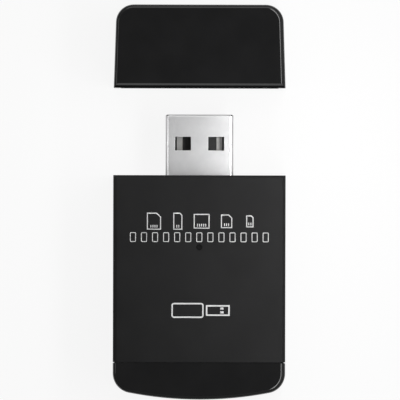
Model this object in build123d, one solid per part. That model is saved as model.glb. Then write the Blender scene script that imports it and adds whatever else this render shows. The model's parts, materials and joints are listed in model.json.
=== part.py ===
from build123d import *
from math import asin, degrees
import os

# A pocket card reader on its back: X across, +Y towards the plug, +Z out of the front face.
# Sizes are in millimetres. The housing takes its size from the cards and sockets that it holds.

# Memory cards that go in
large_card_width = 24.0
large_card_thick = 2.1
stick_card_width = 21.5
stick_card_thick = 2.8
micro_card_width = 11.0
micro_card_thick = 1.0
slim_card_width = 12.5
slim_card_thick = 1.2

# Card sockets: a moulded tray, a folded cover and sprung contacts
card_side_play = 0.15
card_headroom = 0.25
tray_rail = 0.6
tray_floor = 0.35
tray_back = 0.8
socket_sheet = 0.2
socket_gap = 0.3
large_socket_depth = 13.85
large_contact_count = 9
stick_contact_count = 10
micro_contact_count = 8
slim_contact_count = 11
contact_sheet = 0.15
contact_foot = 0.9
contact_root = 0.6
contact_reach = 5.2
contact_nose = 0.8
contact_lift = 0.55
contact_share = 0.5
contact_spare = 1.5
contact_side_gap = 0.12
cover_window_edge = 1.4

# Housing
wall = 1.2
fit = 0.05
edge_round = 0.8
shoulder_bevel = 0.4
rib = 0.8
lip_height = 0.8
parting_gap = 0.15
parting_depth = 0.3
slot_play = 0.3
slot_round = 0.3
slot_lead = 0.3
mouth_gap = 0.4

# Tail bezel: a bowed end, with a ring that snaps into the covers
tail_length = 6.6
tail_radius = 65.0
tail_corner = 3.5
seam_gap = 0.2
seam_depth = 0.25
ring_wall = 0.6
ring_length = 2.5
ring_side_gap = 0.4
ring_face_gap = 0.05
snap_width = 6.0
snap_height = 0.3
snap_radius = 0.5

# Plug
plug_width = 12.0
plug_height = 4.5
plug_reach = 10.7
plug_inset = 6.5
plug_sheet = 0.3
plug_corner = 0.65
plug_tip_bevel = 0.2
window_width = 2.8
window_length = 2.4
window_spacing = 5.85
window_setback = 3.9
plug_seam = 0.15
wing_width = 1.6
wing_length = 2.0
tongue_setback = 0.5
tongue_block = 5.0
tongue_chamfer = 0.4
plug_contact_width = 1.0
plug_contact_thick = 0.25
plug_contact_sink = 0.15
plug_contact_inner = 1.0
plug_contact_outer = 3.5
outer_contact_setback = 1.2
inner_contact_setback = 2.2
contact_tail = 1.5
aperture_gap = 0.1

# Cap
cap_gap = 4.7
cap_step = 0.05
cap_taper = 0.46
cap_corner = 3.15
cap_end = 3.35
cap_mouth_bevel = 0.6
tip_gap = 0.6
grip_gap = 0.15
sleeve_wall = 1.0
sleeve_setback = 0.8
sleeve_lead = 0.4
web_setback = 1.6
cap_rib_spacing = 8.0

# Circuit board and what is soldered on it
board_thick = 1.0
contact_seat = 0.2
board_gap = 0.4
board_side_gap = 0.25
board_corner = 0.8
notch_gap = 0.15
post_radius = 1.8
post_gap = 0.6
peg_radius = 0.8
peg_rise = 1.4
peg_gap = 0.1
part_gap = 0.6
plug_room = 0.7
chip_size = 7.0
chip_height = 1.4
chip_standoff = 0.1
chip_chamfer = 0.15
chip_dot = 0.4
leads_per_side = 7
lead_spare = 0.75
lead_reach = 1.0
lead_sheet = 0.15
lead_width = 0.35
lead_bend = 0.3
crystal_length = 5.0
crystal_width = 3.2
crystal_base = 0.5
crystal_lid = 0.7
crystal_rim = 0.3
led_setback = 12.7
led_length = 1.6
led_width = 0.8
led_base = 0.3
led_lens = 0.3
pipe_radius = 0.5
pipe_flange_radius = 1.2
pipe_flange = 0.6
pipe_sink = 0.15
pipe_lamp_gap = 0.2
pipe_collar = 0.8
small_part_length = 1.6
small_part_width = 0.8
capacitor_height = 0.8
resistor_height = 0.45
small_part_count = 4

# Cuts run past the faces that they open by this much
over = 1.0


def socket_width(card_width):
    return card_width + 2 * (card_side_play + tray_rail + socket_sheet)


def cavity_height(card_thick):
    return card_thick + card_headroom


def socket_height(card_thick):
    return tray_floor + cavity_height(card_thick) + socket_sheet


def bow(half_width):
    """How far the bowed tail falls back at this distance from the middle."""
    return tail_radius - (tail_radius**2 - half_width**2) ** 0.5


# Across: the wider tail socket, the snap ring around it and the housing wall
tail_socket_half = max(socket_width(large_card_width), socket_width(stick_card_width)) / 2
ring_inset = wall + fit
hollow_inset = ring_inset + ring_wall
body_width = 2 * (tail_socket_half + ring_side_gap + hollow_inset)
board_width = 2 * (tail_socket_half + ring_side_gap - board_side_gap)

# Height: the sockets on both faces of the board, with the plug at the middle
stack_room = hollow_inset + ring_face_gap
lower_half = stack_room + socket_height(large_card_thick) + board_thick + contact_seat
upper_half = stack_room + socket_height(stick_card_thick) - contact_seat
mid_z = max(lower_half, upper_half)
body_height = 2 * mid_z
ceiling_z = body_height - wall
board_top = mid_z - contact_seat
board_bottom = board_top - board_thick
plug_bottom = mid_z - plug_height / 2
plug_top = mid_z + plug_height / 2
ring_top = body_height - ring_inset

# Length: the plug's root, the side sockets, then the large socket up to the bowed end
side_span = max(socket_width(micro_card_width), socket_width(slim_card_width))
tail_end = bow(tail_socket_half) + wall
large_span = socket_gap + contact_foot + large_socket_depth + mouth_gap
body_length = plug_inset + plug_room + side_span + large_span + tail_end
cap_length = fit + plug_reach + tip_gap + cap_end
cap_standoff = plug_reach + cap_gap
tail_y = -(body_length + cap_standoff + cap_length) / 2
seam_y = tail_y + tail_length
shoulder_y = tail_y + body_length
plug_tip_y = shoulder_y + plug_reach
plug_rear_y = shoulder_y - plug_inset
cap_mouth_y = shoulder_y + cap_standoff
cap_end_y = cap_mouth_y + cap_length
pocket_floor_y = cap_end_y - cap_end

# Places on the board
tail_inner_y = tail_y + tail_end
socket_mouth_y = tail_inner_y + mouth_gap
large_back_y = socket_mouth_y + large_socket_depth
side_socket_y = plug_rear_y - plug_room - side_span / 2
side_mouth_x = body_width / 2 - wall - fit
side_socket_depth = side_mouth_x - contact_foot - socket_gap / 2
board_front_y = shoulder_y - wall - board_gap
board_rear_y = socket_mouth_y + board_gap
contact_tail_y = plug_rear_y - notch_gap - contact_tail
chip_span = chip_size + 2 * lead_reach
chip_y = contact_tail_y - part_gap - chip_span / 2
stick_back_y = chip_y - chip_span / 2 - part_gap - contact_foot
stick_socket_depth = stick_back_y - socket_mouth_y
led_y = shoulder_y - led_setback
chip_x = -(led_length + board_width) / 4
crystal_x = (pipe_flange_radius + pipe_collar + board_width / 2) / 2
post_x = plug_width / 2 + wing_width + post_gap + post_radius
post_y = shoulder_y - (wall + plug_inset) / 2


def block(x_span, y_span, z_span):
    """Box between three pairs of limits."""
    spans = (x_span, y_span, z_span)
    middle = [(low + high) / 2 for low, high in spans]
    size = [high - low for low, high in spans]
    return Pos(*middle) * Box(*size)


def rod(radius, x, y, z_span):
    """Upright round bar."""
    low, high = z_span
    return Pos(x, y, (low + high) / 2) * Cylinder(radius, high - low)


def bar(width, height, corner, y_span, z=mid_z):
    """Bar along Y with a rounded rectangular section, centred at height z."""
    low, high = y_span
    section_plane = Plane((0, high, z), x_dir=(1, 0, 0), z_dir=(0, -1, 0))
    return extrude(section_plane * RectangleRounded(width, height, corner), high - low)


def housing_core(inset, y_span):
    """Square-cornered bar of the housing's section, inset on all sides."""
    half = body_width / 2 - inset
    return block((-half, half), y_span, (inset, body_height - inset))


def end_wedges(face_y, outward, bevel):
    """Prisms that slope the front and back edges of an end face; outward is 1 or -1 along Y."""
    tip = face_y + outward * over
    root = face_y - outward * (bevel + over)
    wedges = []
    for face_z, up in ((body_height, 1), (0, -1)):
        top = face_z + up * over
        corners = [(root, top), (tip, top), (tip, face_z - up * (bevel + over))]
        section = Plane.YZ * make_face(Polyline(corners, close=True))
        wedges.append(extrude(section, body_width, both=True))
    return wedges


def strip(points, thickness, width):
    """Bent strip of sheet, centred on x = 0, along (y, z) points."""
    profile = Plane.YZ * trace(Polyline(points), thickness)
    return extrude(profile, width / 2, both=True)


def mirrored_pair(offset):
    return (-offset, offset)


def card_socket(card_width, card_thick, depth, contact_count):
    """Tray, cover and contacts on a board at z = 0; the card comes in at y = 0 towards -Y."""
    cavity_half = card_width / 2 + card_side_play
    tray_half = cavity_half + tray_rail
    tray_height = tray_floor + cavity_height(card_thick)
    pitch = card_width / (contact_count + contact_spare)
    contact_x = [(n - (contact_count - 1) / 2) * pitch for n in range(contact_count)]
    strip_width = contact_share * pitch
    well_half = contact_x[-1] + strip_width / 2 + contact_side_gap
    well_end = contact_reach + contact_side_gap - depth

    tray = block((-tray_half, tray_half), (-depth, 0), (0, tray_height))
    tray -= block((-cavity_half, cavity_half), (tray_back - depth, over), (tray_floor, tray_height + over))
    tray -= block((-well_half, well_half), (-depth - over, well_end), (-over, tray_floor))

    cover_half = tray_half + socket_sheet
    cover = block((-cover_half, cover_half), (-depth, 0), (0, tray_height + socket_sheet))
    bends = cover.edges().filter_by(Axis.Y).sort_by(Axis.Z)[-2:]
    cover = fillet(bends, socket_sheet)
    cover -= block((-tray_half, tray_half), (-depth - over, over), (-over, tray_height))
    window_span = (tray_back + cover_window_edge - depth, well_end)
    cover -= block((-well_half, well_half), window_span, (tray_height - over, tray_height + over))

    sheet_middle = contact_sheet / 2
    nose_z = tray_floor + contact_lift
    contact = strip(
        [
            (-depth - contact_foot, sheet_middle),
            (tray_back + contact_root - depth, sheet_middle),
            (contact_reach - contact_nose - depth, nose_z),
            (contact_reach - depth, nose_z - contact_nose / 2),
        ],
        contact_sheet,
        strip_width,
    )
    contacts = [Pos(x, 0, 0) * contact for x in contact_x]
    return tray, cover, contacts


def cover_blank():
    """Hollow housing between the shoulder and the tail seam, open at the tail."""
    blank = bar(body_width, body_height, edge_round, (seam_y, shoulder_y))
    for wedge in end_wedges(shoulder_y, 1, shoulder_bevel):
        blank -= wedge
    return blank - housing_core(wall, (seam_y - over, shoulder_y - wall))


def plug_aperture():
    grow = 2 * aperture_gap
    span = (shoulder_y - wall - over, shoulder_y + over)
    return bar(plug_width + grow, plug_height + grow, plug_corner + aperture_gap, span)


def inner_plan(inset, z_span):
    """Upright block of the covers' plan, inset at the sides and the shoulder."""
    half = body_width / 2 - inset
    return block((-half, half), (seam_y - over, shoulder_y - inset), z_span)


def snap(side, growth):
    """Snap bead across the ring: side is 1 on the front face and -1 on the back face."""
    y = seam_y + ring_length / 2
    z = mid_z + side * (ring_top - mid_z - snap_radius + snap_height)
    return Pos(0, y, z) * Rot(0, 90, 0) * Cylinder(snap_radius + growth, snap_width + 2 * growth)


def saddle_places():
    """Limits along Y of the two ribs that hold the plug's root."""
    front = shoulder_y - wall - rib
    rear = plug_rear_y + rib / 2
    return [(front - rib, front), (rear, rear + rib)]


def front_cover():
    half_z = (mid_z, body_height + over)
    cover = cover_blank() & inner_plan(-over, half_z)
    lip_z = (mid_z - lip_height, mid_z + rib)
    lip = inner_plan(wall / 2 + fit, lip_z) - inner_plan(wall, (lip_z[0] - over, lip_z[1] + over))
    cover += lip & block((-body_width, body_width), (seam_y, shoulder_y), lip_z)
    groove_z = (mid_z, mid_z + parting_gap)
    cover -= inner_plan(-over, groove_z) - inner_plan(parting_depth, groove_z)
    cover -= plug_aperture()

    saddle_half = plug_width / 2 - plug_corner
    for span in saddle_places():
        cover += block((-saddle_half, saddle_half), span, (plug_top + fit, ceiling_z + fit))
    stop_span = (plug_rear_y - fit - rib, plug_rear_y - fit)
    stop_bottom = board_top + plug_contact_thick + aperture_gap
    cover += block((-saddle_half, saddle_half), stop_span, (stop_bottom, ceiling_z + fit))
    rib_span = (seam_y + ring_length + rib, stick_back_y - rib)
    stick_top = board_top + socket_height(stick_card_thick)
    for x in mirrored_pair(stick_card_width / 4):
        cover += block((x - rib / 2, x + rib / 2), rib_span, (stick_top + fit, ceiling_z + fit))
    for x in mirrored_pair(post_x):
        cover += rod(post_radius, x, post_y, (board_top + fit, ceiling_z + fit))
        cover -= rod(peg_radius + fit, x, post_y, (board_top, board_top + peg_rise + peg_gap))

    collar_span = (ceiling_z - pipe_flange, ceiling_z + fit)
    cover += rod(pipe_flange_radius + pipe_collar, 0, led_y, collar_span)
    cover -= rod(pipe_flange_radius + fit, 0, led_y, (collar_span[0] - over, ceiling_z))
    cover -= rod(pipe_radius + fit, 0, led_y, (ceiling_z - over, body_height + over))
    return cover - snap(1, fit)


def lip_section(mouth, inward, z, half_height):
    """Section of the lips that slope from an outer face, at mouth, into a slot at height z."""
    root = mouth + inward * slot_lead
    outside = mouth - inward * over
    spread = half_height + slot_lead + over
    corners = [(root, z - half_height), (root, z + half_height), (outside, z + spread), (outside, z - spread)]
    return make_face(Polyline(corners, close=True))


def side_slot(side, card_width, card_thick):
    """Card slot through a side wall: side is 1 on the right and -1 on the left."""
    half_width = card_width / 2 + slot_play
    half_height = card_thick / 2 + slot_play
    z = board_bottom - tray_floor - cavity_height(card_thick) / 2
    face_x = side * body_width / 2
    mouth_plane = Plane((face_x, side_socket_y, z), x_dir=(0, side, 0), z_dir=(side, 0, 0))
    slot = mouth_plane * RectangleRounded(2 * half_width, 2 * half_height, slot_round)
    lip_plane = Plane((0, side_socket_y, 0), x_dir=(1, 0, 0), z_dir=(0, -1, 0))
    lips = lip_plane * lip_section(face_x, -side, z, half_height)
    return extrude(slot, wall + over, both=True) + extrude(lips, half_width, both=True)


def back_cover():
    half_z = (-over, mid_z)
    cover = cover_blank() & inner_plan(-over, half_z)
    cover -= inner_plan(wall / 2, (mid_z - lip_height - fit, mid_z + over))
    cover -= plug_aperture()

    saddle_half = plug_width / 2 - plug_corner
    for span in saddle_places():
        cover += block((-saddle_half, saddle_half), span, (wall - fit, plug_bottom - fit))
    rib_span = (seam_y + ring_length + rib, large_back_y - rib)
    large_bottom = board_bottom - socket_height(large_card_thick)
    for x in mirrored_pair(large_card_width / 4):
        cover += block((x - rib / 2, x + rib / 2), rib_span, (wall - fit, large_bottom - fit))
    for x in mirrored_pair(post_x):
        cover += rod(post_radius, x, post_y, (wall - fit, board_bottom))
        cover += rod(peg_radius, x, post_y, (wall, board_top + peg_rise))

    cards = ((-1, micro_card_width, micro_card_thick), (1, slim_card_width, slim_card_thick))
    for side, card_width, card_thick in cards:
        cover -= side_slot(side, card_width, card_thick)
    return cover - snap(-1, fit)


def tail_plan():
    """Plan of the bezel: straight seam, bowed end and rounded corners."""
    band = Pos(0, tail_y + tail_length / 2) * Rectangle(body_width, tail_length)
    plan = band & Pos(0, tail_y + tail_radius) * Circle(tail_radius)
    return fillet(plan.vertices().sort_by(Axis.Y)[:2], tail_corner)


def tail_slot(card_width, card_thick, z):
    """Card slot through the bowed end, with lips that slope along the bow above and below it."""
    half_width = card_width / 2 + slot_play
    half_height = card_thick / 2 + slot_play
    slot = bar(2 * half_width, 2 * half_height, slot_round, (tail_y - over, tail_inner_y + over), z)
    lips = Plane.YZ * lip_section(tail_y, 1, z, half_height)
    bow_axis = Axis((0, tail_y + tail_radius, 0), (0, 0, 1))
    half_turn = degrees(asin(half_width / tail_radius))
    return slot + revolve(lips, bow_axis, 2 * half_turn).rotate(bow_axis, -half_turn)


def tail_bezel():
    bezel = extrude(tail_plan(), body_height)
    flat_faces = bezel.faces().filter_by(Axis.Z)
    rim = [edge for edge in flat_faces.edges() if edge.center().Y < seam_y - fit]
    bezel = fillet(rim, edge_round)
    outside = (-body_width, body_width)
    groove = block(outside, (seam_y - seam_gap, seam_y + over), (-over, body_height + over))
    bezel -= groove - housing_core(seam_depth, (seam_y - over, seam_y + 2 * over))
    bezel += housing_core(ring_inset, (seam_y - over, seam_y + ring_length))
    bezel -= housing_core(hollow_inset, (tail_inner_y, seam_y + ring_length + over))
    for side in (-1, 1):
        bezel += snap(side, 0) - housing_core(ring_inset + ring_wall / 2, (seam_y, shoulder_y))

    large_z = board_bottom - tray_floor - cavity_height(large_card_thick) / 2
    stick_z = board_top + tray_floor + cavity_height(stick_card_thick) / 2
    bezel -= tail_slot(large_card_width, large_card_thick, large_z)
    return bezel - tail_slot(stick_card_width, stick_card_thick, stick_z)


def plug_shell():
    shell = bar(plug_width, plug_height, plug_corner, (plug_rear_y, plug_tip_y))
    tip_edges = shell.faces().sort_by(Axis.Y)[-1].edges()
    shell = chamfer(tip_edges, min(plug_tip_bevel, 0.8 * plug_sheet))
    inner = (plug_width - 2 * plug_sheet, plug_height - 2 * plug_sheet, plug_corner - plug_sheet)
    shell -= bar(*inner, (plug_rear_y - over, plug_tip_y + over))
    window_span = (plug_tip_y - window_setback - window_length, plug_tip_y - window_setback)
    for x in mirrored_pair(window_spacing / 2):
        window_x = (x - window_width / 2, x + window_width / 2)
        shell -= block(window_x, window_span, (plug_bottom - over, plug_top + over))
    seam_half = plug_seam / 2
    seam_span = (plug_rear_y - over, plug_tip_y + over)
    shell -= block((-seam_half, seam_half), seam_span, (plug_bottom - over, plug_bottom + plug_seam))
    wing_start = plug_width / 2 - plug_sheet / 2
    for side in (-1, 1):
        wing_x = sorted((side * wing_start, side * (plug_width / 2 + wing_width)))
        wing_span = (plug_rear_y + plug_sheet, plug_rear_y + plug_sheet + wing_length)
        shell += block(wing_x, wing_span, (board_top, board_top + plug_sheet))
    return shell


def plug_contact_places():
    """Middle along X and front end of each contact, from left to right."""
    tongue_tip = plug_tip_y - tongue_setback
    outer = tongue_tip - outer_contact_setback
    inner = tongue_tip - inner_contact_setback
    return [
        (-plug_contact_outer, outer),
        (-plug_contact_inner, inner),
        (plug_contact_inner, inner),
        (plug_contact_outer, outer),
    ]


def plug_tongue():
    shrink = 2 * (plug_sheet + fit)
    section = (plug_width - shrink, plug_height - shrink, plug_corner - plug_sheet)
    tongue_tip = plug_tip_y - tongue_setback
    tongue_top = board_top + plug_contact_sink
    tongue = bar(*section, (plug_rear_y, tongue_tip))
    tongue &= block((-plug_width, plug_width), (plug_rear_y, tongue_tip), (plug_bottom, tongue_top))
    front_top = tongue.edges().filter_by(Axis.X).sort_by(lambda edge: edge.center().Y + edge.center().Z)[-1]
    tongue = chamfer(front_top, tongue_chamfer)
    tongue += bar(*section, (plug_rear_y, plug_rear_y + tongue_block))
    channel_half = plug_contact_width / 2 + fit
    channel_top = board_top + plug_contact_thick + fit
    for x, front in plug_contact_places():
        channel_x = (x - channel_half, x + channel_half)
        tongue -= block(channel_x, (plug_rear_y - over, front + fit), (board_top, channel_top))
    return tongue


def plug_contact(x, front):
    half = plug_contact_width / 2
    contact = block((x - half, x + half), (contact_tail_y, front), (board_top, board_top + plug_contact_thick))
    nose = contact.edges().filter_by(Axis.X).sort_by(lambda edge: edge.center().Y + edge.center().Z)[-1]
    return chamfer(nose, plug_contact_sink / 2)


def circuit_board():
    half = board_width / 2
    thickness = (board_bottom, board_top)
    board = block((-half, half), (board_rear_y, board_front_y), thickness)
    board = chamfer(board.edges().filter_by(Axis.Z), board_corner)
    notch_half = plug_width / 2 + notch_gap
    cut_z = (board_bottom - over, board_top + over)
    board -= block((-notch_half, notch_half), (plug_rear_y - notch_gap, board_front_y + over), cut_z)
    for x in mirrored_pair(post_x):
        board -= rod(peg_radius + peg_gap, x, post_y, cut_z)
    return board


def controller_chip():
    base = board_top + chip_standoff
    chip = Pos(chip_x, chip_y, base + chip_height / 2) * Box(chip_size, chip_size, chip_height)
    chip = chamfer(chip.faces().sort_by(Axis.Z)[-1].edges(), chip_chamfer)
    dot_shift = chip_size / 2 - 2 * chip_dot - chip_chamfer
    top = base + chip_height
    return chip - rod(chip_dot, chip_x - dot_shift, chip_y + dot_shift, (top - chip_chamfer, top + over))


def chip_leads():
    """Gull-wing leads in four rows around the chip."""
    half = chip_size / 2
    root_z = chip_standoff + chip_height / 2
    lead = strip(
        [
            (half, root_z),
            (half + lead_bend, root_z),
            (half + lead_bend + lead_sheet, lead_sheet / 2),
            (half + lead_reach, lead_sheet / 2),
        ],
        lead_sheet,
        lead_width,
    )
    pitch = chip_size / (leads_per_side + lead_spare)
    places = [(n - (leads_per_side - 1) / 2) * pitch for n in range(leads_per_side)]
    chip_place = Pos(chip_x, chip_y, board_top)
    return [chip_place * Rot(0, 0, 90 * row) * Pos(x, 0, 0) * lead for row in range(4) for x in places]


def crystal():
    y = chip_y + chip_span / 2 - crystal_width / 2
    base = Box(crystal_length, crystal_width, crystal_base, align=(Align.CENTER, Align.CENTER, Align.MIN))
    lid_plan = Rectangle(crystal_length - 2 * crystal_rim, crystal_width - 2 * crystal_rim)
    lid = Pos(0, 0, crystal_base) * extrude(lid_plan, crystal_lid)
    return Pos(crystal_x, y, board_top) * (base + lid)


def status_led():
    flat = (Align.CENTER, Align.CENTER, Align.MIN)
    base = Box(led_length, led_width, led_base, align=flat)
    lens = Pos(0, 0, led_base) * Box(led_length - led_width, led_width, led_lens, align=flat)
    return Pos(0, led_y, board_top) * (base + lens)


def light_pipe():
    lamp_z = board_top + led_base + led_lens + pipe_lamp_gap
    flange_z = ceiling_z - pipe_flange
    pipe = rod(pipe_radius, 0, led_y, (lamp_z, body_height - pipe_sink))
    return pipe + rod(pipe_flange_radius, 0, led_y, (flange_z, ceiling_z))


def small_parts(column, height):
    """A column of soldered chip parts beside the crystal."""
    x = crystal_x - crystal_length / 2 + small_part_length / 2
    x += column * (small_part_length + part_gap)
    first_y = chip_y + chip_span / 2 - crystal_width - part_gap - small_part_width / 2
    pitch = small_part_width + part_gap / 2
    part = Box(small_part_length, small_part_width, height, align=(Align.CENTER, Align.CENTER, Align.MIN))
    return [Pos(x, first_y - n * pitch, board_top) * part for n in range(small_part_count)]


def cap_plan(inset):
    """Plan of the cap: open mouth, slight taper and a rounded closed end."""
    mouth_half = body_width / 2 - cap_step - inset
    end_half = mouth_half - cap_taper
    mouth = cap_mouth_y - (over if inset else 0)
    end = cap_end_y - inset
    corners = [(-mouth_half, mouth), (mouth_half, mouth), (end_half, end), (-end_half, end)]
    plan = make_face(Polyline(corners, close=True))
    return fillet(plan.vertices().sort_by(Axis.Y)[-2:], cap_corner - inset)


def cap():
    shell = extrude(cap_plan(0), body_height)
    flat_faces = shell.faces().filter_by(Axis.Z)
    rim = [edge for edge in flat_faces.edges() if edge.center().Y > cap_mouth_y + fit]
    shell = fillet(rim, edge_round)
    for wedge in end_wedges(cap_mouth_y, -1, cap_mouth_bevel):
        shell -= wedge
    shell -= Pos(0, 0, wall) * extrude(cap_plan(wall), body_height - 2 * wall)

    web_end = cap_end_y - wall / 2
    web_span = (cap_mouth_y + web_setback, web_end)
    webs = block((-body_width, body_width), web_span, (mid_z - rib / 2, mid_z + rib / 2))
    for x in mirrored_pair(cap_rib_spacing / 2):
        webs += block((x - rib / 2, x + rib / 2), web_span, (wall / 2, body_height - wall / 2))
    shell += webs & extrude(cap_plan(wall / 2), body_height)
    sleeve_face_y = cap_mouth_y + sleeve_setback
    sleeve_growth = 2 * (grip_gap + sleeve_wall)
    sleeve_corner = plug_corner + grip_gap + sleeve_wall
    sleeve_span = (sleeve_face_y, web_end)
    shell += bar(plug_width + sleeve_growth, plug_height + sleeve_growth, sleeve_corner, sleeve_span)
    pocket_span = (cap_mouth_y - over, pocket_floor_y)
    pocket_growth = 2 * grip_gap
    shell -= bar(plug_width + pocket_growth, plug_height + pocket_growth, plug_corner + grip_gap, pocket_span)
    sleeve_face = shell.faces().filter_by_position(Axis.Y, sleeve_face_y - fit, sleeve_face_y + fit)[0]
    return chamfer(sleeve_face.inner_wires()[0].edges(), sleeve_lead)


pieces = {
    "cap": cap(),
    "front_cover": front_cover(),
    "back_cover": back_cover(),
    "tail_bezel": tail_bezel(),
    "plug_shell": plug_shell(),
    "plug_tongue": plug_tongue(),
    "circuit_board": circuit_board(),
    "controller_chip": controller_chip(),
    "chip_leads": Compound(chip_leads()),
    "crystal": crystal(),
    "status_led": status_led(),
    "light_pipe": light_pipe(),
    "capacitors": Compound(small_parts(0, capacitor_height)),
    "resistors": Compound(small_parts(1, resistor_height)),
}
for number, (x, front) in enumerate(plug_contact_places(), start=1):
    pieces[f"plug_contact_{number}"] = plug_contact(x, front)

# Each card socket: its place on the board, then card width, card thickness, depth and contacts
underside = Rot(180, 0, 0)
sockets = {
    "large_card_socket": (
        Pos(0, socket_mouth_y, board_bottom) * underside,
        (large_card_width, large_card_thick, large_socket_depth, large_contact_count),
    ),
    "stick_card_socket": (
        Pos(0, socket_mouth_y, board_top) * Rot(0, 0, 180),
        (stick_card_width, stick_card_thick, stick_socket_depth, stick_contact_count),
    ),
    "micro_card_socket": (
        Pos(-side_mouth_x, side_socket_y, board_bottom) * Rot(0, 0, -90) * underside,
        (micro_card_width, micro_card_thick, side_socket_depth, micro_contact_count),
    ),
    "slim_stick_socket": (
        Pos(side_mouth_x, side_socket_y, board_bottom) * Rot(0, 0, 90) * underside,
        (slim_card_width, slim_card_thick, side_socket_depth, slim_contact_count),
    ),
}
for name, (place, sizes) in sockets.items():
    tray, cover, contacts = card_socket(*sizes)
    pieces[f"{name}_base"] = place * tray
    pieces[f"{name}_cover"] = place * cover
    pieces[f"{name}_contacts"] = Compound([place * contact for contact in contacts])

os.makedirs("parts", exist_ok=True)
for name, piece in pieces.items():
    export_step(piece, f"parts/{name}.step")
print(f"body {body_width:.2f} x {body_length:.2f} x {body_height:.2f}, cap {cap_length:.2f}")
print(f"tail {tail_y:.3f}, shoulder {shoulder_y:.3f}, cap mouth {cap_mouth_y:.3f}, floor {pocket_floor_y:.3f}")
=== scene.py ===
import json
import math
import bmesh
import bpy
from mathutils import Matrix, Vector


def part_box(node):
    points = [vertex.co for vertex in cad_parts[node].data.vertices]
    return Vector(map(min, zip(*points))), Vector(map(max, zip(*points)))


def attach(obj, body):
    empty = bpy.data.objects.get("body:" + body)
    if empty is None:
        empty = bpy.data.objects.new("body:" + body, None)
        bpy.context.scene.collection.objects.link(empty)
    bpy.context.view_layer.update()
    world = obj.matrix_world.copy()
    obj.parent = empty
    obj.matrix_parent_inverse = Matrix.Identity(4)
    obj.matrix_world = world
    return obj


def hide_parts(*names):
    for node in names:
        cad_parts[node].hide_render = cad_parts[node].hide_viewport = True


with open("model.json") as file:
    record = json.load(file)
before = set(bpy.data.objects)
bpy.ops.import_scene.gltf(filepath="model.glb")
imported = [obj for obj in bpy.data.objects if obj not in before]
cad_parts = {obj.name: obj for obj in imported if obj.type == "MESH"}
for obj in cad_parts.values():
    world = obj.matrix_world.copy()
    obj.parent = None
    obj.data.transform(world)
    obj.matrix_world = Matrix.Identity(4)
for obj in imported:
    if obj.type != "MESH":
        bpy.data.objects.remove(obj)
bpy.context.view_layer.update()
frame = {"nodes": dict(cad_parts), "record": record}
scene = bpy.context.scene
mm = 0.001


# shader maths


class Wire:
    # one output socket of a node; sums and products of wires add Math nodes beside it
    def __init__(self, socket):
        self.socket = socket

    def node(self, kind, settings, sockets, output=0):
        tree = self.socket.id_data
        made = tree.nodes.new(kind)
        for name, value in settings.items():
            if name == "stops":
                setStops(made.color_ramp, value)
            else:
                setattr(made, name, value)
        join(made, sockets)
        return Wire(made.outputs[output])

    def maths(self, operation, *values):
        return self.node("ShaderNodeMath", {"operation": operation}, dict(enumerate(values)))

    def __add__(self, other):
        return self.maths("ADD", self, other)

    def __sub__(self, other):
        return self.maths("SUBTRACT", self, other)

    def __rsub__(self, other):
        return self.maths("SUBTRACT", other, self)

    def __mul__(self, other):
        return self.maths("MULTIPLY", self, other)

    __radd__ = __add__
    __rmul__ = __mul__


def join(node, sockets):
    # a wire is linked to its socket, and anything else is set on it
    for key, value in sockets.items():
        if isinstance(value, Wire):
            node.id_data.links.new(value.socket, node.inputs[key])
        else:
            node.inputs[key].default_value = value


def setStops(ramp, stops):
    while len(ramp.elements) < len(stops):
        ramp.elements.new(0.5)
    for element, (position, value) in zip(ramp.elements, stops):
        element.position = position
        element.color = (value, value, value, 1)


def startFinish(name):
    # a new material: its Principled shader and its Object coordinates in millimetres
    material = bpy.data.materials.new(name)
    material.use_nodes = True
    shader = material.node_tree.nodes["Principled BSDF"]
    coordinates = Wire(shader.outputs[0]).node("ShaderNodeTexCoord", {}, {}, output="Object")
    return material, shader, stretch(coordinates, 1 / mm, 1 / mm, 1 / mm)


def stretch(place, x, y, z):
    return place.node("ShaderNodeMapping", {}, {"Vector": place, "Scale": (x, y, z)})


def speckle(place, perMm, detail=2.0, rough=0.5):
    sockets = {"Vector": place, "Scale": perMm, "Detail": detail, "Roughness": rough}
    return place.node("ShaderNodeTexNoise", {}, sockets)


def contrast(value, low, high):
    return value.node("ShaderNodeMapRange", {}, {"Value": value, "From Min": low, "From Max": high})


def cloudsOn(place, perMm, detail):
    # slow soft patches; noise keeps near its middle, so it's stretched over 0 to 1
    return contrast(speckle(place, perMm, detail), 0.3, 0.7)


def opaque(colour):
    return colour if isinstance(colour, Wire) else (*colour, 1)


def blendColour(factor, first, second):
    # sockets 6 and 7 are the Mix node's two colours, and output 2 is their blend
    sockets = {0: factor, 6: opaque(first), 7: opaque(second)}
    return factor.node("ShaderNodeMix", {"data_type": "RGBA"}, sockets, output=2)


def relief(height, depth):
    # depth is how far the surface rises from the lowest to the highest value, in millimetres
    return height.node("ShaderNodeBump", {}, {"Height": height, "Distance": depth * mm})


def axisOf(place, axis):
    return place.node("ShaderNodeSeparateXYZ", {}, {"Vector": place}, output=axis)


# finishes


def satinPlastic():
    look = {
        "dark": (0.0105, 0.0105, 0.0107),
        "pale": (0.013, 0.013, 0.0133),
        "shine": 0.13,
        "smooth": 0.5,
        "rough": 0.6,
        "cloudsPerMm": 0.14,
        "grainPerMm": 6.5,
        "grainDepth": 0.0035,
    }
    material, shader, place = startFinish("satinPlastic")
    clouds = cloudsOn(place, look["cloudsPerMm"], detail=3)
    grain = speckle(place, look["grainPerMm"], detail=3, rough=0.6)
    join(shader, {
        "Base Color": blendColour(clouds, look["dark"], look["pale"]),
        "Roughness": look["smooth"] + grain * (look["rough"] - look["smooth"]),
        "Specular IOR Level": look["shine"],
        "Normal": relief(grain, look["grainDepth"]),
    })
    return material


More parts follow.
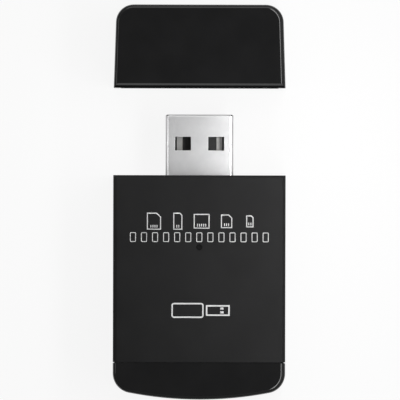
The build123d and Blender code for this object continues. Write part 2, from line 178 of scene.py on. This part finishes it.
def polishedPlastic():
    look = {
        "dark": (0.0035, 0.0035, 0.0037),
        "pale": (0.0055, 0.0055, 0.0058),
        "smooth": 0.05,
        "rough": 0.09,
        "cloudsPerMm": 0.2,
        "peelPerMm": 0.45,
        "peelDepth": 0.002,
        "wipePerMm": 5.0,
        "wipeStretch": (1, 0.08, 1),  # wiped lengthways
        "wipeRange": (0.35, 0.7),
    }
    material, shader, place = startFinish("polishedPlastic")
    clouds = cloudsOn(place, look["cloudsPerMm"], detail=2)
    streaks = speckle(stretch(place, *look["wipeStretch"]), look["wipePerMm"], detail=4, rough=0.6)
    wipe = contrast(streaks, *look["wipeRange"])
    peel = speckle(place, look["peelPerMm"], detail=1)
    join(shader, {
        "Base Color": blendColour(clouds, look["dark"], look["pale"]),
        "Roughness": look["smooth"] + wipe * (look["rough"] - look["smooth"]),
        "Normal": relief(peel, look["peelDepth"]),
    })
    return material


def rolledMetal(name, look):
    # sheet with fine rolling lines along one axis, and a cloudy plating
    material, shader, place = startFinish(name)
    lines = speckle(stretch(place, *look["lineStretch"]), look["linesPerMm"], detail=3, rough=0.6)
    clouds = cloudsOn(place, look["cloudsPerMm"], detail=3)
    join(shader, {
        "Base Color": blendColour(clouds, look["dark"], look["pale"]),
        "Metallic": 1.0,
        "Roughness": look["smooth"] + lines * (look["rough"] - look["smooth"]),
        "Normal": relief(lines, look["lineDepth"]),
    })
    return material


def platedSheet():
    return rolledMetal("platedSheet", {
        "dark": (0.76, 0.76, 0.765),
        "pale": (0.82, 0.82, 0.825),
        "smooth": 0.34,
        "rough": 0.42,
        "lineStretch": (1, 0.05, 1),
        "linesPerMm": 9.0,
        "lineDepth": 0.0008,
        "cloudsPerMm": 0.5,
    })


def socketSteel():
    return rolledMetal("socketSteel", {
        "dark": (0.50, 0.50, 0.505),
        "pale": (0.60, 0.60, 0.605),
        "smooth": 0.28,
        "rough": 0.40,
        "lineStretch": (1, 0.06, 1),
        "linesPerMm": 7.0,
        "lineDepth": 0.001,
        "cloudsPerMm": 0.4,
    })


def brightContact():
    return rolledMetal("brightContact", {
        "dark": (0.62, 0.615, 0.60),
        "pale": (0.72, 0.715, 0.70),
        "smooth": 0.24,
        "rough": 0.36,
        "lineStretch": (1, 0.1, 1),
        "linesPerMm": 12.0,
        "lineDepth": 0.0008,
        "cloudsPerMm": 1.2,
    })


def goldContact():
    return rolledMetal("goldContact", {
        "dark": (0.72, 0.50, 0.20),
        "pale": (0.83, 0.62, 0.28),
        "smooth": 0.22,
        "rough": 0.34,
        "lineStretch": (1, 1, 1),
        "linesPerMm": 9.0,
        "lineDepth": 0.0008,
        "cloudsPerMm": 1.2,
    })


def tinnedMetal():
    return rolledMetal("tinnedMetal", {
        "dark": (0.55, 0.55, 0.555),
        "pale": (0.70, 0.70, 0.705),
        "smooth": 0.26,
        "rough": 0.46,
        "lineStretch": (1, 1, 1),
        "linesPerMm": 5.0,
        "lineDepth": 0.002,
        "cloudsPerMm": 1.5,
    })


def moulded(name, look):
    # a plain moulding or ceramic body with flecks of filler
    material, shader, place = startFinish(name)
    flecks = speckle(place, look["flecksPerMm"], detail=4, rough=0.65)
    paler = contrast(flecks, 0.35, 0.7)
    join(shader, {
        "Base Color": blendColour(paler, look["dark"], look["pale"]),
        "Roughness": look["smooth"] + flecks * (look["rough"] - look["smooth"]),
        "Specular IOR Level": look["shine"],
        "Normal": relief(flecks, look["fleckDepth"]),
    })
    return material


def socketMoulding():
    return moulded("socketMoulding", {
        "dark": (0.011, 0.011, 0.0115),
        "pale": (0.021, 0.021, 0.022),
        "shine": 0.5,
        "smooth": 0.42,
        "rough": 0.58,
        "flecksPerMm": 4.0,
        "fleckDepth": 0.004,
    })


def chipResin():
    return moulded("chipResin", {
        "dark": (0.02, 0.02, 0.022),
        "pale": (0.035, 0.035, 0.038),
        "shine": 0.5,
        "smooth": 0.5,
        "rough": 0.65,
        "flecksPerMm": 9.0,
        "fleckDepth": 0.006,
    })


def lampResin():
    return moulded("lampResin", {
        "dark": (0.62, 0.66, 0.56),
        "pale": (0.76, 0.79, 0.71),
        "shine": 0.5,
        "smooth": 0.12,
        "rough": 0.22,
        "flecksPerMm": 2.5,
        "fleckDepth": 0.002,
    })


def smokedLens():
    return moulded("smokedLens", {
        "dark": (0.004, 0.004, 0.0042),
        "pale": (0.007, 0.007, 0.0072),
        "shine": 0.08,
        "smooth": 0.36,
        "rough": 0.5,
        "flecksPerMm": 3.0,
        "fleckDepth": 0.001,
    })


def solderMask():
    look = {
        "mask": (0.008, 0.085, 0.035),
        "copper": (0.02, 0.16, 0.06),
        "edge": (0.30, 0.25, 0.10),
        "tracesPerMm": 0.9,
        "traceWidth": 0.09,  # how far from a cell's edge its trace starts to rise
        "traceTop": 0.072,  # and where it is flat
        "weavePerMm": 3.0,
        "smooth": 0.22,
        "weaveRough": 0.14,
        "edgeRough": 0.3,
        "edgeTurn": (0.6, 0.4),  # how far a face looks up or down, from board to sawn edge
        "traceShare": 0.8,
        "weaveShare": 0.2,
        "depth": 0.02,
    }
    material, shader, place = startFinish("solderMask")
    flat = stretch(place, 1, 1, 0)
    settings = {"feature": "DISTANCE_TO_EDGE"}
    cells = flat.node("ShaderNodeTexVoronoi", settings, {"Vector": flat, "Scale": look["tracesPerMm"]})
    traces = contrast(cells, look["traceWidth"], look["traceTop"])
    facing = axisOf(place.node("ShaderNodeNewGeometry", {}, {}, output="Normal"), 2)
    sideways = contrast(facing.maths("ABSOLUTE", facing), *look["edgeTurn"])
    green = blendColour(traces, look["mask"], look["copper"])
    weave = speckle(place, look["weavePerMm"])
    join(shader, {
        "Base Color": blendColour(sideways, green, look["edge"]),
        "Roughness": look["smooth"] + weave * look["weaveRough"] + sideways * look["edgeRough"],
        "Normal": relief(traces * look["traceShare"] + weave * look["weaveShare"], look["depth"]),
    })
    return material


def endCapped(name, nodeName, look):
    # a chip part: its body in the middle, and tinned ends along X
    ends = {"tin": (0.62, 0.62, 0.62), "fade": 0.02, "smoother": 0.15}
    fleck = {"perMm": 4.0, "rougher": 0.1, "depth": 0.004}
    material, shader, place = startFinish(name)
    low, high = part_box(nodeName)
    middle = (low.x + high.x) / 2 / mm
    half = (high.x - low.x) / 2 / mm
    endStart = half - look["cap"]
    fromMiddle = axisOf(place, 0) - middle
    distance = fromMiddle.maths("ABSOLUTE", fromMiddle)
    tinned = contrast(distance, endStart - ends["fade"], endStart + ends["fade"])
    flecks = speckle(place, fleck["perMm"], detail=3, rough=0.6)
    bodyColour = blendColour(flecks, look["dark"], look["pale"])
    join(shader, {
        "Base Color": blendColour(tinned, bodyColour, ends["tin"]),
        "Metallic": tinned,
        "Roughness": look["rough"] - tinned * ends["smoother"] + flecks * fleck["rougher"],
        "Normal": relief(flecks, fleck["depth"]),
    })
    return material


def paleInk():
    look = {
        "thin": (0.52, 0.52, 0.52),
        "full": (0.66, 0.66, 0.66),
        "patchPerMm": 3.5,
        "patchRange": (0.25, 0.55),
        "patchDepth": 0.002,
        "smooth": 0.42,
        "rough": 0.6,
    }
    material, shader, place = startFinish("paleInk")
    patches = contrast(speckle(place, look["patchPerMm"], detail=4, rough=0.7), *look["patchRange"])
    join(shader, {
        "Base Color": blendColour(patches, look["thin"], look["full"]),
        "Roughness": look["rough"] - patches * (look["rough"] - look["smooth"]),
        "Normal": relief(patches, look["patchDepth"]),
    })
    return material


finishes = {
    "satin_black": satinPlastic(),
    "gloss_black": polishedPlastic(),
    "plated_steel": platedSheet(),
    "insulator": socketMoulding(),
    "nickel_plate": brightContact(),
    "gold_plate": goldContact(),
    "board_green": solderMask(),
    "chip_resin": chipResin(),
    "tinned_metal": tinnedMetal(),
    "lamp_resin": lampResin(),
    "smoked_clear": smokedLens(),
    "socket_sheet": socketSteel(),
    "tan_ceramic": endCapped("tanCeramic", "capacitors", {
        "dark": (0.30, 0.20, 0.11),
        "pale": (0.45, 0.32, 0.19),
        "cap": 0.3,
        "rough": 0.5,
    }),
    "resistor_black": endCapped("resistorBlack", "resistors", {
        "dark": (0.02, 0.02, 0.022),
        "pale": (0.04, 0.04, 0.043),
        "cap": 0.28,
        "rough": 0.45,
    }),
}
inkFinish = paleInk()
print("finishes:", len(finishes) + 1)

slotOf = {row["node"]: row["material_slot"] for row in frame["record"]["subparts"]}


def setFinish(piece, finish):
    piece.data.materials.clear()
    piece.data.materials.append(finish)


def addPiece(name, form, finish, body):
    # a bmesh becomes a smooth-shaded piece that moves with a body
    mesh = bpy.data.meshes.new(name)
    for face in form.faces:
        face.smooth = True
    form.to_mesh(mesh)
    form.free()
    piece = bpy.data.objects.new(name, mesh)
    scene.collection.objects.link(piece)
    setFinish(piece, finish)
    shading = piece.modifiers.new("evenShading", "WEIGHTED_NORMAL")
    shading.keep_sharp = True
    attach(piece, body)
    return piece


# mouldings and folded sheet: merged copies of the solids, with small facets cut and hard edges broken

dressing = {
    "mergeGap": 0.0005 * mm,
    "flatAngle": math.radians(0.2),
    "hardAngle": math.radians(28),
    "squareAngle": math.radians(60),
    "crispAngle": math.radians(35),  # what is left sharper than this is shaded as an edge
    "segments": 3,
    "room": 2.5,  # an edge is broken where those beside it are this many widths long
    "facetLean": math.radians(22.5),
    "pieces": {
        # piece, body, width on slopes, width on square edges
        "cap": ("cap_moulding", "cap", 0.08, 0.06),
        "front_cover": ("front_cover_moulding", "reader", 0.08, 0.06),
        "back_cover": ("back_cover_moulding", "reader", 0.08, 0.06),
        "tail_bezel": ("tail_bezel_moulding", "reader", 0.08, 0.06),
        "plug_shell": ("plug_shell_sheet", "reader", 0.05, 0.04),
        "plug_tongue": ("plug_tongue_moulding", "reader", 0.06, 0.03),
        "light_pipe": ("light_pipe_lens", "reader", 0.05, 0.05),
    },
    "facets": {
        # way along Y, how far before the end the facet starts, and on which faces
        "cap": (-1, 0.8, (1, -1)),
        "front_cover": (1, 0.6, (1,)),
        "back_cover": (1, 0.6, (-1,)),
        "plug_shell": (1, 0.32, (1, -1)),
    },
}


def trimEnd(form, nodeName, outward, start, faces):
    # cut a flat facet across the front or the back, where it turns down to one end
    low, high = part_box(nodeName)
    endY = high.y if outward > 0 else low.y
    lean = dressing["facetLean"]
    for up in faces:
        slope = Vector((0, outward * math.sin(lean), up * math.cos(lean)))
        cut = bmesh.ops.bisect_plane(
            form,
            geom=form.verts[:] + form.edges[:] + form.faces[:],
            dist=dressing["mergeGap"],
            plane_co=(0, endY - outward * start * mm, high.z if up > 0 else low.z),
            plane_no=slope,
            clear_outer=True,
        )
        rim = [part for part in cut["geom_cut"] if isinstance(part, bmesh.types.BMEdge)]
        for face in bmesh.ops.holes_fill(form, edges=rim)["faces"]:
            face.normal_update()
            if face.normal.dot(slope) < 0:
                face.normal_flip()
            for edge in face.edges:
                edge.smooth = False


def hasRoom(edge, width):
    beside = [other for vert in edge.verts for other in vert.link_edges if other is not edge]
    return min(other.calc_length() for other in beside) > dressing["room"] * width * mm


def breakEdges(form, least, most, width):
    closed = [edge for edge in form.edges if len(edge.link_faces) == 2]
    hard = [edge for edge in closed if least < edge.calc_face_angle() <= most and hasRoom(edge, width)]
    bmesh.ops.bevel(
        form,
        geom=hard,
        offset=width * mm,
        segments=dressing["segments"],
        profile=0.5,
        affect="EDGES",
        clamp_overlap=True,
        material=-1,
    )


def dressNode(nodeName, pieceName, body, slopeRound, squareRound):
    form = bmesh.new()
    form.from_mesh(frame["nodes"][nodeName].data)
    bmesh.ops.remove_doubles(form, verts=form.verts, dist=dressing["mergeGap"])
    bmesh.ops.dissolve_limit(form, angle_limit=dressing["flatAngle"], verts=form.verts, edges=form.edges)
    if nodeName in dressing["facets"]:
        trimEnd(form, nodeName, *dressing["facets"][nodeName])
    breakEdges(form, dressing["hardAngle"], dressing["squareAngle"], slopeRound)
    breakEdges(form, dressing["squareAngle"], math.pi, squareRound)
    for edge in form.edges:
        if len(edge.link_faces) == 2 and edge.calc_face_angle() > dressing["crispAngle"]:
            edge.smooth = False
    piece = addPiece(pieceName, form, finishes[slotOf[nodeName]], body)
    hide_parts(nodeName)
    print("dressed", nodeName, len(piece.data.polygons), "faces")


for nodeName, settings in dressing["pieces"].items():
    dressNode(nodeName, *settings)
for nodeName, node in frame["nodes"].items():
    if nodeName not in dressing["pieces"]:
        setFinish(node, finishes[slotOf[nodeName]])


# printed guide marks on the front face

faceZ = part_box("front_cover")[1].z
guide = {
    "thick": 0.012,
    "sink": 0.004,
    "cornerSegments": 5,
    "cards": {
        "y": -3.38,
        "stroke": 0.17,
        "contact": (0.16, 0.5),
        "contactGap": 0.36,
        # middle, width, height, cut corner, number of contacts
        "rows": (
            (-8.0, 2.5, 3.0, 0.75, 4),
            (-3.8, 1.6, 3.0, 0.4, 2),
            (0.4, 2.8, 2.6, 0.0, 5),
            (4.8, 2.0, 2.4, 0.6, 3),
            (8.9, 1.3, 2.1, 0.35, 2),
        ),
    },
    "pads": {"y": -6.2, "size": (1.05, 1.7), "pitch": 1.95, "count": 13, "corner": 0.2, "stroke": 0.13},
    "plug": {
        "y": -19.1,
        "stroke": 0.26,
        "body": (-2.05, 5.7, 2.65),
        "bodyCorner": 0.45,
        "shell": (3.3, 4.2, 1.9),
        "window": (4.0, 0.62, 0.42),
        "windowFromMiddle": 0.34,
    },
}


def box(x, y, width, height):
    left, right = x - width / 2, x + width / 2
    low, high = y - height / 2, y + height / 2
    return [(left, low), (right, low), (right, high), (left, high)]


def stamp(form, corners, corner=0.0, stroke=0.0):
    # one flat mark of ink: a filled shape, or an outline where it has a stroke
    mark = bmesh.new()
    verts = [mark.verts.new((x * mm, y * mm, 0)) for x, y in corners]
    mark.faces.new(verts)
    if corner:
        bmesh.ops.bevel(
            mark,
            geom=verts,
            offset=corner * mm,
            segments=guide["cornerSegments"],
            profile=0.5,
            affect="VERTICES",
            material=-1,
        )
    mark.normal_update()
    if stroke:
        inside = mark.faces[:]
        bmesh.ops.inset_region(
            mark,
            faces=inside,
            thickness=stroke * mm,
            use_boundary=True,
            use_even_offset=True,
        )
        bmesh.ops.delete(mark, geom=inside, context="FACES")
    raised = bmesh.ops.extrude_face_region(mark, geom=mark.faces[:], use_keep_orig=True)
    top = [part for part in raised["geom"] if isinstance(part, bmesh.types.BMVert)]
    bmesh.ops.translate(mark, verts=top, vec=(0, 0, guide["thick"] * mm))
    bmesh.ops.recalc_face_normals(mark, faces=mark.faces)
    mesh = bpy.data.meshes.new("mark")
    mark.to_mesh(mesh)
    mark.free()
    form.from_mesh(mesh)
    bpy.data.meshes.remove(mesh)


def addPrint(name, form):
    bmesh.ops.translate(form, verts=form.verts, vec=(0, 0, faceZ - guide["sink"] * mm))
    addPiece(name, form, inkFinish, "reader")


def printCards(look):
    form = bmesh.new()
    for x, width, height, cut, contacts in look["rows"]:
        corners = box(x, look["y"], width, height)
        if cut:
            right, high = corners[2]
            corners[2:3] = [(right, high - cut), (right - cut, high)]
        stamp(form, corners, stroke=look["stroke"])
        barWide, barHigh = look["contact"]
        barY = look["y"] - height / 2 + 2 * look["stroke"] + barHigh / 2
        for n in range(contacts):
            barX = x + (n - (contacts - 1) / 2) * look["contactGap"]
            stamp(form, box(barX, barY, barWide, barHigh))
    addPrint("card_guide_print", form)


def printPads(look):
    form = bmesh.new()
    for n in range(look["count"]):
        x = (n - (look["count"] - 1) / 2) * look["pitch"]
        stamp(form, box(x, look["y"], *look["size"]), look["corner"], look["stroke"])
    addPrint("contact_row_print", form)


def printPlug(look):
    form = bmesh.new()
    x, width, height = look["body"]
    stamp(form, box(x, look["y"], width, height), look["bodyCorner"], look["stroke"])
    x, width, height = look["shell"]
    stamp(form, box(x, look["y"], width, height), stroke=look["stroke"])
    x, width, height = look["window"]
    for side in (-1, 1):
        stamp(form, box(x, look["y"] + side * look["windowFromMiddle"], width, height))
    addPrint("plug_mark_print", form)


printCards(guide["cards"])
printPads(guide["pads"])
printPlug(guide["plug"])
print("print: cards, contact row and plug")


# studio: floor, light and camera

studio = {
    "floorSize": 3.0,
    "floorDrop": 0.02,  # millimetres below the part
    "floorColour": (0.86, 0.86, 0.86, 1),
    "floorRough": 0.9,
    "floorWhite": 0.88,  # how much of the floor is plain white to the camera
    "floorMirrored": 0.4,  # and in reflections
    # height of a direction above the floor, from 0 to 1, and how bright the room is there
    "sky": ((0.0, 0.08), (0.12, 0.1), (0.5, 0.5), (0.7, 0.46), (0.9, 0.26), (1.0, 0.21)),
    "rightward": 0.45,  # how much brighter the room is on the right
    "forward": 0.35,  # and ahead of the cap
    # place, target and size in millimetres, then brightness
    "panels": {
        "rightPanel": ((25, 0, 58), (12, 0, 8), (120, 12), 6.5),  # the main light
        "leftPanel": ((-95, 10, 75), (0, 10, 8), (90, 18), 1.5),
        "topPanel": ((0, 200, 150), (0, 20, 6), (200, 100), 1.0),
        "mouthPanel": ((0, -20, 52), (0, 20, 12), (42, 10), 1.15),  # the line along the cap's mouth
        "plugPanel": ((22.5, 10, 44), (10, 10, 8), (12, 9), 12.0),  # the plug's right half
        "edgePanel": ((-24, 10, 30), (-5, 10, 8), (9, 12), 2.6),  # the plug's left edge
    },
}


def rayOf(wire, output):
    return wire.node("ShaderNodeLightPath", {}, {}, output=output)


def makeFloor():
    form = bmesh.new()
    bmesh.ops.create_grid(form, x_segments=1, y_segments=1, size=studio["floorSize"] / 2)
    bmesh.ops.translate(form, verts=form.verts, vec=(0, 0, -studio["floorDrop"] * mm))
    mesh = bpy.data.meshes.new("floor")
    form.to_mesh(mesh)
    form.free()
    floor = bpy.data.objects.new("floor", mesh)
    scene.collection.objects.link(floor)
    material = bpy.data.materials.new("paleFloor")
    material.use_nodes = True
    tree = material.node_tree
    shader = tree.nodes["Principled BSDF"]
    join(shader, {
        "Base Color": studio["floorColour"],
        "Roughness": studio["floorRough"],
        "Specular IOR Level": 0.0,
    })
    plain = Wire(shader.outputs[0])
    camera = rayOf(plain, "Is Camera Ray")
    glossy = rayOf(plain, "Is Glossy Ray")
    mirrored = glossy.maths("MAXIMUM", glossy, rayOf(plain, "Is Transmission Ray"))
    seen = camera.maths("MAXIMUM", camera * studio["floorWhite"], mirrored * studio["floorMirrored"])
    white = seen.node("ShaderNodeEmission", {}, {"Color": (1, 1, 1, 1), "Strength": 1.0})
    surface = seen.node("ShaderNodeMixShader", {}, {0: seen, 1: plain, 2: white})
    join(tree.nodes["Material Output"], {"Surface": surface})
    setFinish(floor, material)


def makeWorld():
    world = bpy.data.worlds.new("softRoom")
    scene.world = world
    world.use_nodes = True
    tree = world.node_tree
    sky = tree.nodes["Background"]
    room = Wire(sky.outputs[0])
    direction = room.node("ShaderNodeTexCoord", {}, {}, output="Generated")
    height = axisOf(direction, 2)
    side = axisOf(direction, 0) * studio["rightward"] + axisOf(direction, 1) * studio["forward"]
    level = height.node("ShaderNodeValToRGB", {"stops": studio["sky"]}, {0: height}) * (1 + side)
    join(sky, {"Color": level, "Strength": 1.0})
    camera = rayOf(room, "Is Camera Ray")
    white = room.node("ShaderNodeBackground", {}, {"Color": (1, 1, 1, 1), "Strength": 1.0})
    surface = room.node("ShaderNodeMixShader", {}, {0: camera, 1: room, 2: white})
    join(tree.nodes["World Output"], {"Surface": surface})


def makePanel(name, place, target, size, level):
    # a soft panel of even brightness; its watts come from its area
    lamp = bpy.data.lights.new(name, "AREA")
    lamp.shape = "RECTANGLE"
    lamp.size, lamp.size_y = (side * mm for side in size)
    lamp.energy = level * math.pi * lamp.size * lamp.size_y
    panel = bpy.data.objects.new(name, lamp)
    scene.collection.objects.link(panel)
    panel.visible_camera = False
    panel.location = Vector(place) * mm
    panel.rotation_euler = (Vector(target) * mm - panel.location).to_track_quat("-Z", "Y").to_euler()


def makeCamera():
    shot = {
        "lens": 1000.0,
        "sensor": 36.0,
        "across": 70.5,  # millimetres of the front face that the picture takes in
        "centre": (0.107, 0.368),
        "roll": math.radians(0.15),  # the photograph leans a little to the right
    }
    lens = bpy.data.cameras.new("camera")
    lens.lens, lens.sensor_width = shot["lens"], shot["sensor"]
    camera = bpy.data.objects.new("camera", lens)
    scene.collection.objects.link(camera)
    distance = shot["across"] * mm * shot["lens"] / shot["sensor"]
    camera.location = (shot["centre"][0] * mm, shot["centre"][1] * mm, faceZ + distance)
    camera.rotation_euler = (0, 0, shot["roll"])
    scene.camera = camera


makeFloor()
makeWorld()
for panelName, settings in studio["panels"].items():
    makePanel(panelName, *settings)
makeCamera()
scene.view_settings.view_transform = "Standard"
print("studio: floor, world,", len(studio["panels"]), "panels and the camera")
